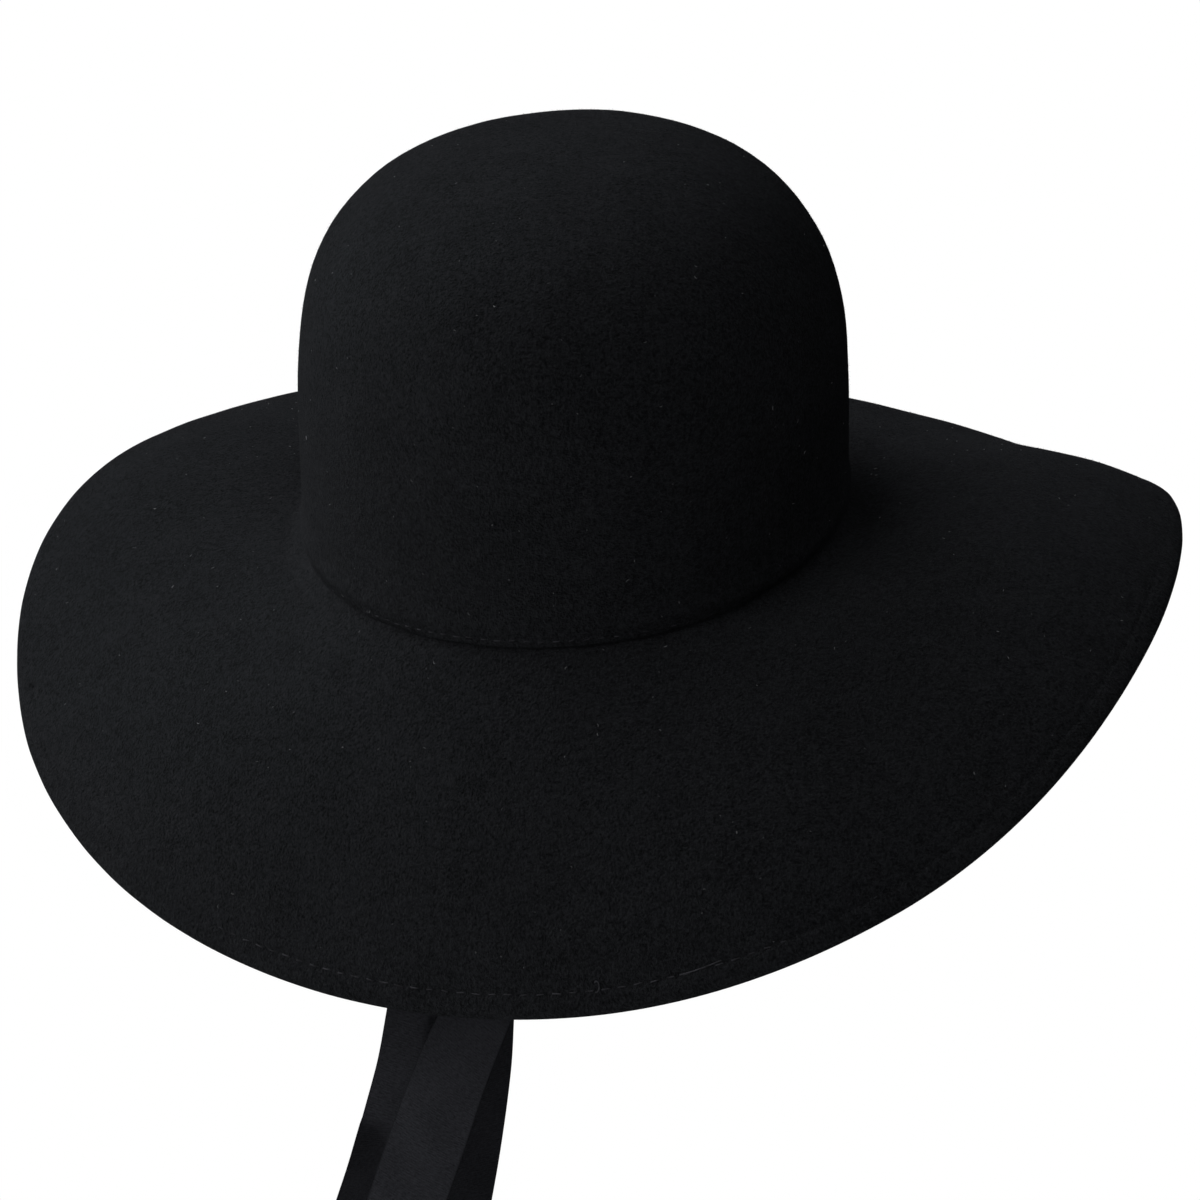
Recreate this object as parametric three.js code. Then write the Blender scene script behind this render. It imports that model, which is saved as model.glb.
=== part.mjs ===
// A floppy hat in black wool felt. The crown and the wide drooping brim are blocked from one round
// of felt, whose edge is turned under and sewn. A grosgrain sweatband lines the foot of the crown,
// and three ribbon ties are sewn to it at the back.
//
// Millimetres and degrees, +Z up. The origin is the middle of the head opening, where a head carries
// the hat. -Y is the back, where the ties hang, and +X is to the right as seen from the back.

import * as THREE from "three";

// Driving dimensions.

const SEGMENTS = 60; // steps around the hat

// Outside of the crown where it meets the brim: a 58 cm head plus sweatband and felt.
const OVAL = { halfWidth: 85, halfLength: 99.5 };
const OPENING_TILT = 0.07; // the opening's line rises this much for each millimetre towards +X

// The crown leans with its opening: its top is set over by lean towards -X, and its +X side is raised.
const CROWN = { height: 125, lean: 8, raise: 7, topRoundness: 2.3, wallRoundness: 4.6, steps: 14 };

const FELT_THICKNESS = 2;
const BEND_STEPS = 3;
const BRIM = { width: 109, steps: 9 };
const HEM = { width: 9, roundSteps: 4 };

// The brim at every 30 degrees, from +X towards +Y: its slope below level where it leaves the crown
// and at its edge, and the radius of the bend between the crown's wall and the brim.
const BRIM_SECTIONS = [
  { at: 0, innerSlope: -24, outerSlope: 29, bend: 6 },
  { at: 30, innerSlope: -6, outerSlope: 34, bend: 6 },
  { at: 60, innerSlope: 0, outerSlope: 35, bend: 6 },
  { at: 90, innerSlope: 1, outerSlope: 32, bend: 6 },
  { at: 120, innerSlope: -3, outerSlope: 25, bend: 7 },
  { at: 150, innerSlope: -6, outerSlope: 32, bend: 8 },
  { at: 180, innerSlope: 16, outerSlope: 46, bend: 9 },
  { at: 210, innerSlope: 36, outerSlope: 59, bend: 8 },
  { at: 240, innerSlope: 49, outerSlope: 66, bend: 5 },
  { at: 270, innerSlope: 43, outerSlope: 66, bend: 4 },
  { at: 300, innerSlope: 14, outerSlope: 55, bend: 4 },
  { at: 330, innerSlope: -19, outerSlope: 38, bend: 5 },
];

const GAP = 0.5; // between pieces that touch on the real hat
const SWEATBAND = { thickness: 1, foot: 3, top: 33 };

const RIBBON = { width: 25, thickness: 1, stepsAcross: 4, stepsAlong: 28 };

// Each tie from its sewn end to its free end, in even steps. turn is how far the ribbon's face is
// turned towards -X, and curl is how much more it is turned at its right edge than at its left.
const TIES = {
  ribbon_tie_middle: [
    { x: 7.5, y: -92.8, z: 16, turn: -7, curl: -5 },
    { x: 6.5, y: -93.8, z: -12, turn: 1, curl: -6 },
    { x: -2, y: -98, z: -42, turn: 20, curl: -10 },
    { x: -11.5, y: -101.5, z: -72, turn: 40, curl: -14 },
    { x: -23, y: -105, z: -102, turn: 52, curl: -16 },
    { x: -35.5, y: -108, z: -130, turn: 38, curl: -18 },
    { x: -45, y: -109, z: -158, turn: 29, curl: -18 },
    { x: -54.5, y: -110.5, z: -187, turn: 30, curl: -18 },
    { x: -64.5, y: -111, z: -216, turn: 31, curl: -18 },
  ],
  ribbon_tie_left: [
    { x: -20, y: -90.6, z: 16, turn: 17, curl: 4 },
    { x: -20.5, y: -90, z: -12, turn: 12, curl: -4 },
    { x: -24, y: -87, z: -40, turn: 4, curl: -24 },
    { x: -30.8, y: -85, z: -68, turn: -4, curl: -48 },
    { x: -38.8, y: -84.5, z: -96, turn: -8, curl: -68 },
    { x: -45.4, y: -86, z: -123, turn: -8, curl: -72 },
    { x: -50.4, y: -91, z: -149, turn: -6, curl: -64 },
    { x: -56.6, y: -89, z: -176, turn: -18, curl: -40 },
    { x: -64, y: -79, z: -203, turn: -24, curl: -30 },
  ],
  ribbon_tie_right: [
    { x: -5, y: -89, z: 16, turn: 3, curl: 0 },
    { x: -6, y: -86, z: -13, turn: -4, curl: 2 },
    { x: -10.5, y: -79.5, z: -43, turn: -14, curl: 4 },
    { x: -16, y: -73.5, z: -72, turn: -24, curl: 6 },
    { x: -23.3, y: -69, z: -101, turn: -33, curl: 8 },
    { x: -28.3, y: -68, z: -130, turn: -38, curl: 8 },
    { x: -30, y: -68, z: -159, turn: -40, curl: 8 },
    { x: -33.6, y: -68, z: -188, turn: -40, curl: 8 },
    { x: -38.6, y: -69, z: -218, turn: -40, curl: 8 },
  ],
};

const RIGHT_ANGLE = Math.PI / 2;

const feltMaterial = new THREE.MeshStandardMaterial({ color: 0x14161a, roughness: 0.95, metalness: 0 });
const sweatbandMaterial = new THREE.MeshStandardMaterial({ color: 0x121316, roughness: 0.8, metalness: 0 });
const ribbonMaterial = new THREE.MeshStandardMaterial({ color: 0x1c1d20, roughness: 0.6, metalness: 0 });

// One column of the brim's table at any angle around the hat, as a smooth closed curve.
function brimColumn(column, angle) {
  const count = BRIM_SECTIONS.length;
  const value = (row) => BRIM_SECTIONS[(row + count) % count][column];
  const spacing = BRIM_SECTIONS[1].at - BRIM_SECTIONS[0].at;
  const place = THREE.MathUtils.radToDeg(angle) / spacing;
  const row = Math.floor(place);
  const t = place - row;
  const leave = (value(row + 1) - value(row - 1)) / 2;
  const arrive = (value(row + 2) - value(row)) / 2;
  const blend = t * t * (3 - 2 * t);
  return (
    value(row) * (1 - blend) +
    value(row + 1) * blend +
    leave * t * (1 - t) ** 2 -
    arrive * t * t * (1 - t)
  );
}

// The dome's side view from its top to its foot, as shares of the foot's radius and of the height.
class DomeCurve extends THREE.Curve {
  getPoint(t) {
    const lift = (1 - t) * RIGHT_ANGLE;
    const radius = Math.cos(lift) ** (2 / CROWN.topRoundness);
    const height = Math.sin(lift) ** (2 / CROWN.wallRoundness);
    return new THREE.Vector2(t === 0 ? 0 : radius, height);
  }
}

function ovalPoint(angle, inset = 0) {
  const x = (OVAL.halfWidth - inset) * Math.cos(angle);
  const y = (OVAL.halfLength - inset) * Math.sin(angle);
  return new THREE.Vector3(x, y, OPENING_TILT * x);
}

function ovalOutward(angle) {
  const outward = new THREE.Vector3(Math.cos(angle) / OVAL.halfWidth, Math.sin(angle) / OVAL.halfLength, 0);
  return outward.normalize();
}

// The felt's outer face at one angle, as points from the crown's top to the brim's edge.
function feltLine(angle, dome) {
  const inner = THREE.MathUtils.degToRad(brimColumn("innerSlope", angle));
  const outer = THREE.MathUtils.degToRad(brimColumn("outerSlope", angle));
  const bend = brimColumn("bend", angle);
  const origin = ovalPoint(angle);
  const outward = ovalOutward(angle);
  const at = (out, up) => origin.clone().addScaledVector(outward, out).setZ(origin.z + up);

  // The bend is tangent to the wall and to the brim, and takes this much of each.
  const taken = bend * Math.tan((RIGHT_ANGLE - inner) / 2);
  const foot = origin.z + taken;
  const line = dome.map(({ x: radius, y: height }) => {
    const side = radius * Math.cos(angle);
    return new THREE.Vector3(
      origin.x * radius - CROWN.lean * height ** 3,
      origin.y * radius,
      foot + (CROWN.height - foot) * height + CROWN.raise * side * height ** 2,
    );
  });
  for (let step = 1; step <= BEND_STEPS; step++) {
    const slope = THREE.MathUtils.lerp(RIGHT_ANGLE, inner, step / BEND_STEPS);
    line.push(at(bend * (1 - Math.sin(slope)), taken - bend * Math.cos(slope)));
  }

  // The brim's slope grows evenly from the bend to where the edge starts to turn under.
  const length = BRIM.width - FELT_THICKNESS - taken;
  const curvature = (outer - inner) / length;
  const startOut = Math.cos(inner) * taken;
  const startUp = -Math.sin(inner) * taken;
  const hemShare = (length - HEM.width) / length;
  const shares = Array.from({ length: BRIM.steps }, (_, step) => (hemShare * (step + 1)) / BRIM.steps);
  for (const share of [...shares, 1]) {
    const slope = inner + (outer - inner) * share;
    const out = startOut + (Math.sin(slope) - Math.sin(inner)) / curvature;
    const up = startUp + (Math.cos(slope) - Math.cos(inner)) / curvature;
    line.push(at(out, up));
  }
  return line;
}

// The felt laid flat is a thin round with a thicker rim, turned as a lathe would: station counts
// along the felt's line, depth is below the outer face, and reach is past the last station.
function feltProfile(stations) {
  const last = stations - 1;
  const profile = [];
  for (let station = 0; station <= last; station++) {
    profile.push({ station, depth: 0, reach: 0 });
  }
  for (let step = 1; step < HEM.roundSteps; step++) {
    const turn = (Math.PI * step) / HEM.roundSteps;
    profile.push({
      station: last,
      depth: FELT_THICKNESS * (1 - Math.cos(turn)),
      reach: FELT_THICKNESS * Math.sin(turn),
    });
  }
  profile.push({ station: last, depth: 2 * FELT_THICKNESS, reach: 0 });
  profile.push({ station: last - 1, depth: 2 * FELT_THICKNESS, reach: 0 });
  for (let station = last - 1; station >= 0; station--) {
    profile.push({ station, depth: FELT_THICKNESS, reach: 0 });
  }
  return profile;
}

// Moves every vertex of a lathe geometry to place(ring, profile point).
function shapeLathe(geometry, profileLength, place) {
  const position = geometry.attributes.position;
  for (let index = 0; index < position.count; index++) {
    const ring = Math.floor(index / profileLength) % SEGMENTS;
    const point = place(ring, index % profileLength);
    position.setXYZ(index, point.x, point.y, point.z);
  }
  geometry.computeVertexNormals();
  return geometry;
}

// The lathe turns from the Y axis, so its profile is listed from the inside out to face outwards.
function feltBody() {
  const curve = new DomeCurve();
  curve.arcLengthDivisions = 2000;
  const dome = curve.getSpacedPoints(CROWN.steps);
  const angles = Array.from({ length: SEGMENTS }, (_, ring) => (2 * Math.PI * ring) / SEGMENTS);
  const lines = angles.map((angle) => feltLine(angle, dome));
  const stations = lines[0].length;
  const profile = feltProfile(stations).reverse();
  const flat = profile.map(({ station, depth, reach }) => new THREE.Vector2(station + reach, -depth));

  const along = (ring, station) => {
    const line = lines[ring];
    const next = line[Math.min(station + 1, stations - 1)];
    return next.clone().sub(line[Math.max(station - 1, 0)]).normalize();
  };
  const around = (ring, station) => {
    const next = lines[(ring + 1) % SEGMENTS][station];
    return next.clone().sub(lines[(ring + SEGMENTS - 1) % SEGMENTS][station]).normalize();
  };

  const place = (ring, index) => {
    const { station, depth, reach } = profile[index];
    const tangent = along(ring, station);
    const normal = new THREE.Vector3(0, 0, 1);
    if (station > 0) {
      normal.crossVectors(tangent, around(ring, station)).normalize();
    }
    return lines[ring][station].clone().addScaledVector(normal, -depth).addScaledVector(tangent, reach);
  };
  const geometry = new THREE.LatheGeometry(flat, SEGMENTS);
  return new THREE.Mesh(shapeLathe(geometry, profile.length, place), feltMaterial);
}

// A plain band that follows the inside of the crown's wall.
function sweatband() {
  const outside = FELT_THICKNESS + GAP;
  const inside = outside + SWEATBAND.thickness;
  const section = [
    { inset: inside, height: SWEATBAND.foot },
    { inset: outside, height: SWEATBAND.foot },
    { inset: outside, height: SWEATBAND.top },
    { inset: inside, height: SWEATBAND.top },
    { inset: inside, height: SWEATBAND.foot },
  ];
  const flat = section.map(({ inset, height }) => new THREE.Vector2(OVAL.halfWidth - inset, height));
  const place = (ring, index) => {
    const { inset, height } = section[index];
    const point = ovalPoint((2 * Math.PI * ring) / SEGMENTS, inset);
    return point.setZ(point.z + height);
  };
  const geometry = new THREE.LatheGeometry(flat, SEGMENTS);
  return new THREE.Mesh(shapeLathe(geometry, section.length, place), sweatbandMaterial);
}

// A chord's length as a share of its arc's, for half the angle that the arc turns through.
function chordShare(halfAngle) {
  return halfAngle === 0 ? 1 : Math.sin(halfAngle) / halfAngle;
}

// A strip of ribbon: a thin box bent along its rows, with its face turned and curled across.
function ribbonTie(rows) {
  const centre = new THREE.CatmullRomCurve3(rows.map(({ x, y, z }) => new THREE.Vector3(x, y, z)));
  const angles = new THREE.CatmullRomCurve3(rows.map(({ turn, curl }) => new THREE.Vector3(turn, curl, 0)));
  const { width, thickness, stepsAcross, stepsAlong } = RIBBON;
  const geometry = new THREE.BoxGeometry(width, thickness, 1, stepsAcross, 1, stepsAlong);
  const position = geometry.attributes.position;
  for (let index = 0; index < position.count; index++) {
    const across = position.getX(index);
    const depth = position.getY(index);
    const t = 0.5 - position.getZ(index);

    const down = centre.getTangent(t);
    const front = new THREE.Vector3(0, -1, 0);
    front.addScaledVector(down, -front.dot(down)).normalize();
    const right = new THREE.Vector3().crossVectors(front, down);

    const set = angles.getPoint(t);
    const turn = THREE.MathUtils.degToRad(set.x);
    const bent = (THREE.MathUtils.degToRad(set.y) * across) / width;
    const chordTurn = turn + bent / 2;
    const edgeTurn = turn + bent;
    const reach = across * chordShare(bent / 2);
    const point = centre.getPoint(t);
    point.addScaledVector(right, reach * Math.cos(chordTurn) + depth * Math.sin(edgeTurn));
    point.addScaledVector(front, reach * Math.sin(chordTurn) - depth * Math.cos(edgeTurn));
    position.setXYZ(index, point.x, point.y, point.z);
  }
  geometry.computeVertexNormals();
  return new THREE.Mesh(geometry, ribbonMaterial);
}

function named(name, mesh) {
  mesh.name = name;
  return mesh;
}

const hat = new THREE.Group();
hat.add(named("felt_body", feltBody()));
hat.add(named("sweatband", sweatband()));
for (const [name, rows] of Object.entries(TIES)) {
  hat.add(named(name, ribbonTie(rows)));
}

export default hat;
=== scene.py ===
"""A floppy hat in black wool felt.

The crown and the wide drooping brim are blocked from one round of felt, whose edge is turned under
and sewn. A grosgrain sweatband is sewn inside the foot of the crown, and three ribbon ties hang
from it at the back. Metres, +Z up. The origin is the middle of the head opening, -Y is the back,
where the ties hang, and +X is to the right as seen from the back.
"""

import math

import bmesh
import bpy
import numpy as np
from bpy.props import FloatProperty, FloatVectorProperty, IntProperty, PointerProperty
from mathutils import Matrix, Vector, noise


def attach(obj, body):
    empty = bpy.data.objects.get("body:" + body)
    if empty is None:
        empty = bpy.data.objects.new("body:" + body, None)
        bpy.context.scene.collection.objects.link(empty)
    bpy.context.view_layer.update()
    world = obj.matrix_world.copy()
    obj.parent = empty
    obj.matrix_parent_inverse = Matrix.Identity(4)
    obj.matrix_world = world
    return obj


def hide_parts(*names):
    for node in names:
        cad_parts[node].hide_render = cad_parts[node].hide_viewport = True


bl_info = {
    "name": "Floppy Hat",
    "version": (1, 0, 0),
    "blender": (4, 5, 0),
    "location": "View3D > Sidebar > Hat",
    "description": "Makes a black felt floppy hat with a sewn hem, a sweatband and ribbon ties",
    "category": "Add Mesh",
}

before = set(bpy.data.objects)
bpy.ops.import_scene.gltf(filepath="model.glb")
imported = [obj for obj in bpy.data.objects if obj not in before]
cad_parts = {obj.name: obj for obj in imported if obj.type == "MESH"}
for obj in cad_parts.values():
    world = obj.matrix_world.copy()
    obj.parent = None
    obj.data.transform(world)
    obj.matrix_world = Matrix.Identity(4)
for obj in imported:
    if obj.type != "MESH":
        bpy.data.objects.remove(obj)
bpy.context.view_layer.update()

TURN = 2 * math.pi
RIGHT_ANGLE = math.pi / 2

# ---- sizes

# Outside of the crown where it meets the brim, and how much that line rises towards +X.
OVAL_HALF_WIDTH = 0.085
OVAL_HALF_LENGTH = 0.0995
OPENING_TILT = 0.07

CROWN_HEIGHT = 0.125
CROWN_LEAN = 0.008
CROWN_RAISE = 0.007
TOP_ROUNDNESS = 2.3
WALL_ROUNDNESS = 4.6

FELT_THICKNESS = 0.002
BRIM_WIDTH = 0.109

# The brim at even steps from +X towards +Y: its slope below level where it leaves the crown and at
# its edge, in degrees, and the radius of the bend between the crown's wall and the brim.
BRIM_SECTIONS = np.array(
    [
        (0, -24, 29, 0.006),
        (30, -6, 34, 0.006),
        (60, 0, 35, 0.006),
        (90, 1, 32, 0.006),
        (120, -3, 25, 0.007),
        (150, -6, 32, 0.008),
        (180, 16, 46, 0.009),
        (210, 36, 59, 0.008),
        (240, 49, 66, 0.005),
        (270, 43, 66, 0.004),
        (300, 14, 55, 0.004),
        (330, -19, 38, 0.005),
    ],
    dtype=[("at", float), ("inner_slope", float), ("outer_slope", float), ("bend", float)],
)

# The round of felt laid flat: how far its middle is from the crown's foot, from the brim's start
# and from the fold at its edge.
DOME_END = 0.180
BEND_END = 0.188
EDGE = 0.288

# The waves in the blocked felt, from one to the next.
BROAD_WAVES = 0.045
SMALL_WAVES = 0.014

# The crease where the crown meets the brim, and the roll of felt above it.
CREASE_AT = DOME_END + 0.002
CREASE_WIDTH = 0.0015
CREASE_DEPTH = 0.0007
CREASE_BACK = 0.0008  # how much deeper it is at the back
CREASE_UNEVEN = 0.0005
ROLL_ABOVE = 0.0052
ROLL_WIDTH = 0.0032
ROLL_HEIGHT = 0.0008

# The edge is turned under around this radius and sewn, as far in as the Hem Width setting says.
FOLD_RADIUS = FELT_THICKNESS * 0.9
RAW_EDGE = 0.0022  # from the stitches in to the raw edge underneath
HEM_FULLNESS = 0.00012  # how far it swells between its fold and its stitches
HEM_PINCH = 0.00026  # how far the stitches pull it in
HEM_DIMPLE = 0.00024  # how far the thread's holes go in at the back
HEM_GROOVE = 0.0009  # how wide the pinched line is to each side

# Places on the hem, in degrees from +X towards +Y: two dents and the thread's loose ends.
HEM_DENTS = (246.8, 278.8)
DENT_SIZE = 0.0011
DENT_DEPTH = 0.0008
LOOP_AT = 272.5
LONG_STITCH_AT = 282.8

# Each line of stitches: the share of a step that its thread takes, the angle in degrees where the
# thread lies highest, how much deeper it sinks away from there, and its seed.
HEM_THREAD = {"share": 0.66, "shown": 258, "buried": 0.0016, "seed": 3}
SEAM_THREAD = {"share": 0.6, "shown": 257, "buried": 0.0012, "seed": 5}
THREAD_RISE = 0.00012  # of a thread's middle, above the felt
THREAD_DIP = 0.00085  # of a thread's ends, below its middle

# The sweatband, and its seam, which shows on the outside.
SEAM_HEIGHT = 0.0038  # above the opening's line
SEAM_PINCH = 0.0002
SEAM_DIMPLE = 0.0002
SEAM_GROOVE = 0.0016
SWEATBAND_FOOT = 0.003
SWEATBAND_TOP = 0.033
SWEATBAND_GAP = 0.0011  # from the felt's inner face to the band's middle
SWEATBAND_LEAN = 0.0009  # how much further in its top is

# Fibres: the least and the most of each size, and the nap's lean in degrees.
NAP_LENGTH = (0.0004, 0.0011)
NAP_LEAN = (15, 75)
NAP_RADIUS = 0.00003
NAP_ROOT = 0.0002  # how deep in the felt a fibre starts
LINT_SHORTEST = 0.0004
LINT_LONGER = 0.0009  # how much longer the longest is
LINT_RADIUS = (0.00004, 0.00009)
LINT_COLOUR = (0.15, 0.15, 0.16)

# Each tie from its sewn end to its free end, in even steps: X, Y, Z, turn and curl. Turn is how
# far its face is turned towards -X, and curl is how much more so at its right edge than its left.
TIE_WIDTH = 0.025
TIES = {
    "ribbon_tie_middle": [
        (0.0075, -0.0928, 0.016, -7, -5),
        (0.0065, -0.0938, -0.012, 1, -6),
        (-0.002, -0.098, -0.042, 20, -10),
        (-0.0115, -0.1015, -0.072, 40, -14),
        (-0.023, -0.105, -0.102, 52, -16),
        (-0.0355, -0.108, -0.13, 38, -18),
        (-0.045, -0.109, -0.158, 29, -18),
        (-0.0545, -0.1105, -0.187, 30, -18),
        (-0.0645, -0.111, -0.216, 31, -18),
    ],
    "ribbon_tie_left": [
        (-0.02, -0.0906, 0.016, 17, 4),
        (-0.0205, -0.09, -0.012, 12, -4),
        (-0.024, -0.087, -0.04, 4, -24),
        (-0.0308, -0.085, -0.068, -4, -48),
        (-0.0388, -0.0845, -0.096, -8, -68),
        (-0.0454, -0.086, -0.123, -8, -72),
        (-0.0504, -0.091, -0.149, -6, -64),
        (-0.0566, -0.089, -0.176, -18, -40),
        (-0.064, -0.079, -0.203, -24, -30),
    ],
    "ribbon_tie_right": [
        (-0.005, -0.089, 0.016, 3, 0),
        (-0.006, -0.086, -0.013, -4, 2),
        (-0.0105, -0.0795, -0.043, -14, 4),
        (-0.016, -0.0735, -0.072, -24, 6),
        (-0.0233, -0.069, -0.101, -33, 8),
        (-0.0283, -0.068, -0.13, -38, 8),
        (-0.03, -0.068, -0.159, -40, 8),
        (-0.0336, -0.068, -0.188, -40, 8),
        (-0.0386, -0.069, -0.218, -40, 8),
    ],
}

# The left tie is folded lengthwise, this far to the right of its middle.
FOLDED_TIE = "ribbon_tie_left"
FOLD_PLACE = 0.002
FOLD_SOFTNESS = 0.0009
FOLD_START = 0.15  # a share of its length, as the next one is
FOLD_GROWTH = 0.25

# It is also creased across, in a kink. The first four values are shares of its length.
KINK_PLACE = 0.815
KINK_REACH = 0.06
KINK_NARROW = 0.018
KINK_WIDER = 0.13
KINK_RISE = 0.0016
KINK_TURN = math.radians(-28)
KINK_SAG = 0.65

FLOOR_COLOUR = (0.86, 0.86, 0.86, 1)
LIGHT_SPREAD = math.radians(60)
CAMERA_TARGET = (0.0078, 0, -0.0258)  # the point that the camera looks at

# Which way each soft light shines, and its share of the main light's strength.
SOFT_LIGHTS = {
    "window_light": ((0.7, -0.7, -0.5), 1.0),
    "side_light": ((0.7, 0.7, -0.5), 0.34),
    "back_light": ((-0.7, -0.7, -0.5), 0.12),
    "front_light": ((0, 1, -0.5), 0.08),
}

FLAT_MAP = "laid_flat"  # where a strip's points are with the strip laid flat


def in_metres(name, description, default):
    """A setting in metres."""
    return FloatProperty(name=name, description=description, default=default, unit="LENGTH")


def paint(name, description, default):
    """A setting that holds a colour."""
    return FloatVectorProperty(
        name=name, description=description, default=default, subtype="COLOR", size=3
    )


class FeltSettings(bpy.types.PropertyGroup):
    """The felt's sizes, colours and finish."""

    steps: IntProperty(
        name="Steps Around", description="Steps around the hat", default=360, min=60
    )
    hem_width: in_metres(
        "Hem Width", "From where the felt turns under to the hem's stitches", 0.0053
    )
    waviness: in_metres("Waviness", "How far the blocked felt strays from its even form", 0.0005)
    colour: paint("Felt Colour", "Colour of the felt between its fibres", (0.0013, 0.0014, 0.0017))
    nap_colour: paint(
        "Nap Colour", "Colour of the nap where it catches the light", (0.0132, 0.0139, 0.0158)
    )
    nap: IntProperty(
        name="Nap", description="Fibres raised on the outer face", default=48000, min=0
    )
    lint: IntProperty(
        name="Lint", description="Pale fibres caught on the felt", default=420, min=0
    )


class ThreadSettings(bpy.types.PropertyGroup):
    """The stitches' sizes and colour."""

    hem_pitch: in_metres("Hem Pitch", "From one hem stitch to the next", 0.0049)
    seam_pitch: in_metres("Seam Pitch", "From one sweatband stitch to the next", 0.0044)
    diameter: in_metres("Thread", "Thickness of the sewing thread", 0.00042)
    colour: paint("Thread Colour", "Colour of the sewing thread", (0.017, 0.017, 0.0195))


class RibbonSettings(bpy.types.PropertyGroup):
    """The ribbons' sizes and colours."""

    width: in_metres("Width", "Width of a tie", TIE_WIDTH)
    thickness: in_metres("Thickness", "Thickness of a tie", 0.0004)
    colour: paint("Ribbon Colour", "Colour of the ties", (0.0138, 0.0142, 0.0164))
    sweatband_thickness: in_metres("Sweatband Thickness", "Thickness of the sweatband", 0.0008)
    sweatband_colour: paint("Sweatband Colour", "Colour of the sweatband", (0.005, 0.005, 0.0058))


class StageSettings(bpy.types.PropertyGroup):
    """The floor, the lights and the camera."""

    floor_drop: in_metres("Floor Drop", "From the hat's origin down to the floor", 1.2)
    floor_reach: in_metres("Floor Reach", "From the floor's middle to each side", 1.5)
    key: FloatProperty(
        name="Key Light", description="Strength of the main soft light", default=6.1
    )
    fill: FloatProperty(
        name="Fill Light", description="Strength of the light from all round", default=0.05
    )
    distance: in_metres("Camera Distance", "From the camera to the hat", 1.5)
    elevation: FloatProperty(
        name="Camera Elevation",
        description="Angle of the camera above the hat",
        default=math.radians(23),
        subtype="ANGLE",
    )
    lens: FloatProperty(
        name="Lens", description="Focal length of the camera, in millimetres", default=143.0
    )


# ---- shader maths


class Value:
    """A socket that carries a number or a colour, so that arithmetic on it adds Math nodes."""

    def __init__(self, shader, socket):
        self.shader = shader
        self.socket = socket

    def __add__(self, other):
        return self.shader.math("ADD", self, other)

    def __mul__(self, other):
        return self.shader.math("MULTIPLY", self, other)


class Shader:
    """A material in the making. Every node comes from the node method."""

    def __init__(self, name):
        self.material = bpy.data.materials.new(name)
        self.material.use_nodes = True
        self.tree = self.material.node_tree
        self.tree.nodes.clear()

    def node(self, kind, settings=None, inputs=None, output=0):
        """Adds a node, sets it up, feeds its sockets, and returns one of its outputs."""
        node = self.tree.nodes.new(kind)
        for name, value in (settings or {}).items():
            setattr(node, name, value)
        for name, value in (inputs or {}).items():
            socket = node.inputs[name]
            if isinstance(value, Value):
                self.tree.links.new(value.socket, socket)
            else:
                socket.default_value = value
        return Value(self, node.outputs[output]) if node.outputs else None

    def math(self, operation, first, second=0.0):
        """One step of arithmetic."""
        return self.node("ShaderNodeMath", {"operation": operation}, {0: first, 1: second})

    def mix(self, share, first, second):
        """A colour between two others."""
        sockets = {0: share, 6: opaque(first), 7: opaque(second)}
        return self.node("ShaderNodeMix", {"data_type": "RGBA"}, sockets, 2)

    def remap(self, value, low, high, to_low=0.0, to_high=1.0):
        """A number's place between two bounds, moved to between two others."""
        sockets = {0: value, 1: low, 2: high, 3: to_low, 4: to_high}
        return self.node("ShaderNodeMapRange", None, sockets)

    def noise(self, place, scale, detail=2.0, roughness=0.5, distortion=0.0):
        """Soft blotches from 0 to 1. Scale is how many there are to a metre."""
        names = ("Vector", "Scale", "Detail", "Roughness", "Distortion")
        sockets = dict(zip(names, (place, scale, detail, roughness, distortion)))
        return self.node("ShaderNodeTexNoise", None, sockets)

    def place(self):
        """Where a point is in the hat's own frame."""
        return self.node("ShaderNodeTexCoord", output="Object")

    def laid_flat(self):
        """Where a point of a strip is with the strip laid flat, then how far along and across."""
        flat = self.node("ShaderNodeUVMap", {"uv_map": FLAT_MAP})
        along = self.node("ShaderNodeSeparateXYZ", None, {0: flat}, 0)
        across = Value(self, along.socket.node.outputs[1])
        return flat, along, across

    def finish(self, **sockets):
        """Ends the tree in a Principled surface with these sockets, and returns the material."""
        named = {name.replace("_", " "): value for name, value in sockets.items()}
        surface = self.node("ShaderNodeBsdfPrincipled", None, named)
        self.node("ShaderNodeOutputMaterial", None, {"Surface": surface})
        return self.material


def opaque(colour):
    """A colour that is fully opaque."""
    return colour if isinstance(colour, Value) else (*colour, 1.0)


def felt_material(settings):
    """Wool felt: matt, with a short matted nap in clumps under a millimetre wide."""
    shader = Shader("black_wool_felt")
    place = shader.place()
    clumps = shader.noise(place, 1250, roughness=0.6, distortion=0.4)
    fibres = shader.noise(place, 3000, roughness=0.6, distortion=1.2)
    blotches = shader.noise(place, 520, roughness=0.55)
    brushed = shader.noise(place, 60, detail=3.0, roughness=0.55)
    mixed = clumps * 0.42 + fibres * 0.28 + blotches * 0.22 + brushed * 0.08
    mottle = shader.remap(mixed, 0.41, 0.59)
    colour = shader.mix(mottle, settings.colour, settings.nap_colour)
    height = clumps * 0.7 + fibres * 0.3
    relief = {"Strength": 1.0, "Distance": 0.003, "Height": height}
    bump = shader.node("ShaderNodeBump", None, relief)
    return shader.finish(
        Base_Color=colour,
        Roughness=0.95,
        Specular_IOR_Level=0.0,
        Sheen_Weight=0.025,
        Sheen_Roughness=0.5,
        Sheen_Tint=(0.9, 0.95, 1.0, 1.0),
        Normal=bump,
    )


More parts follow.
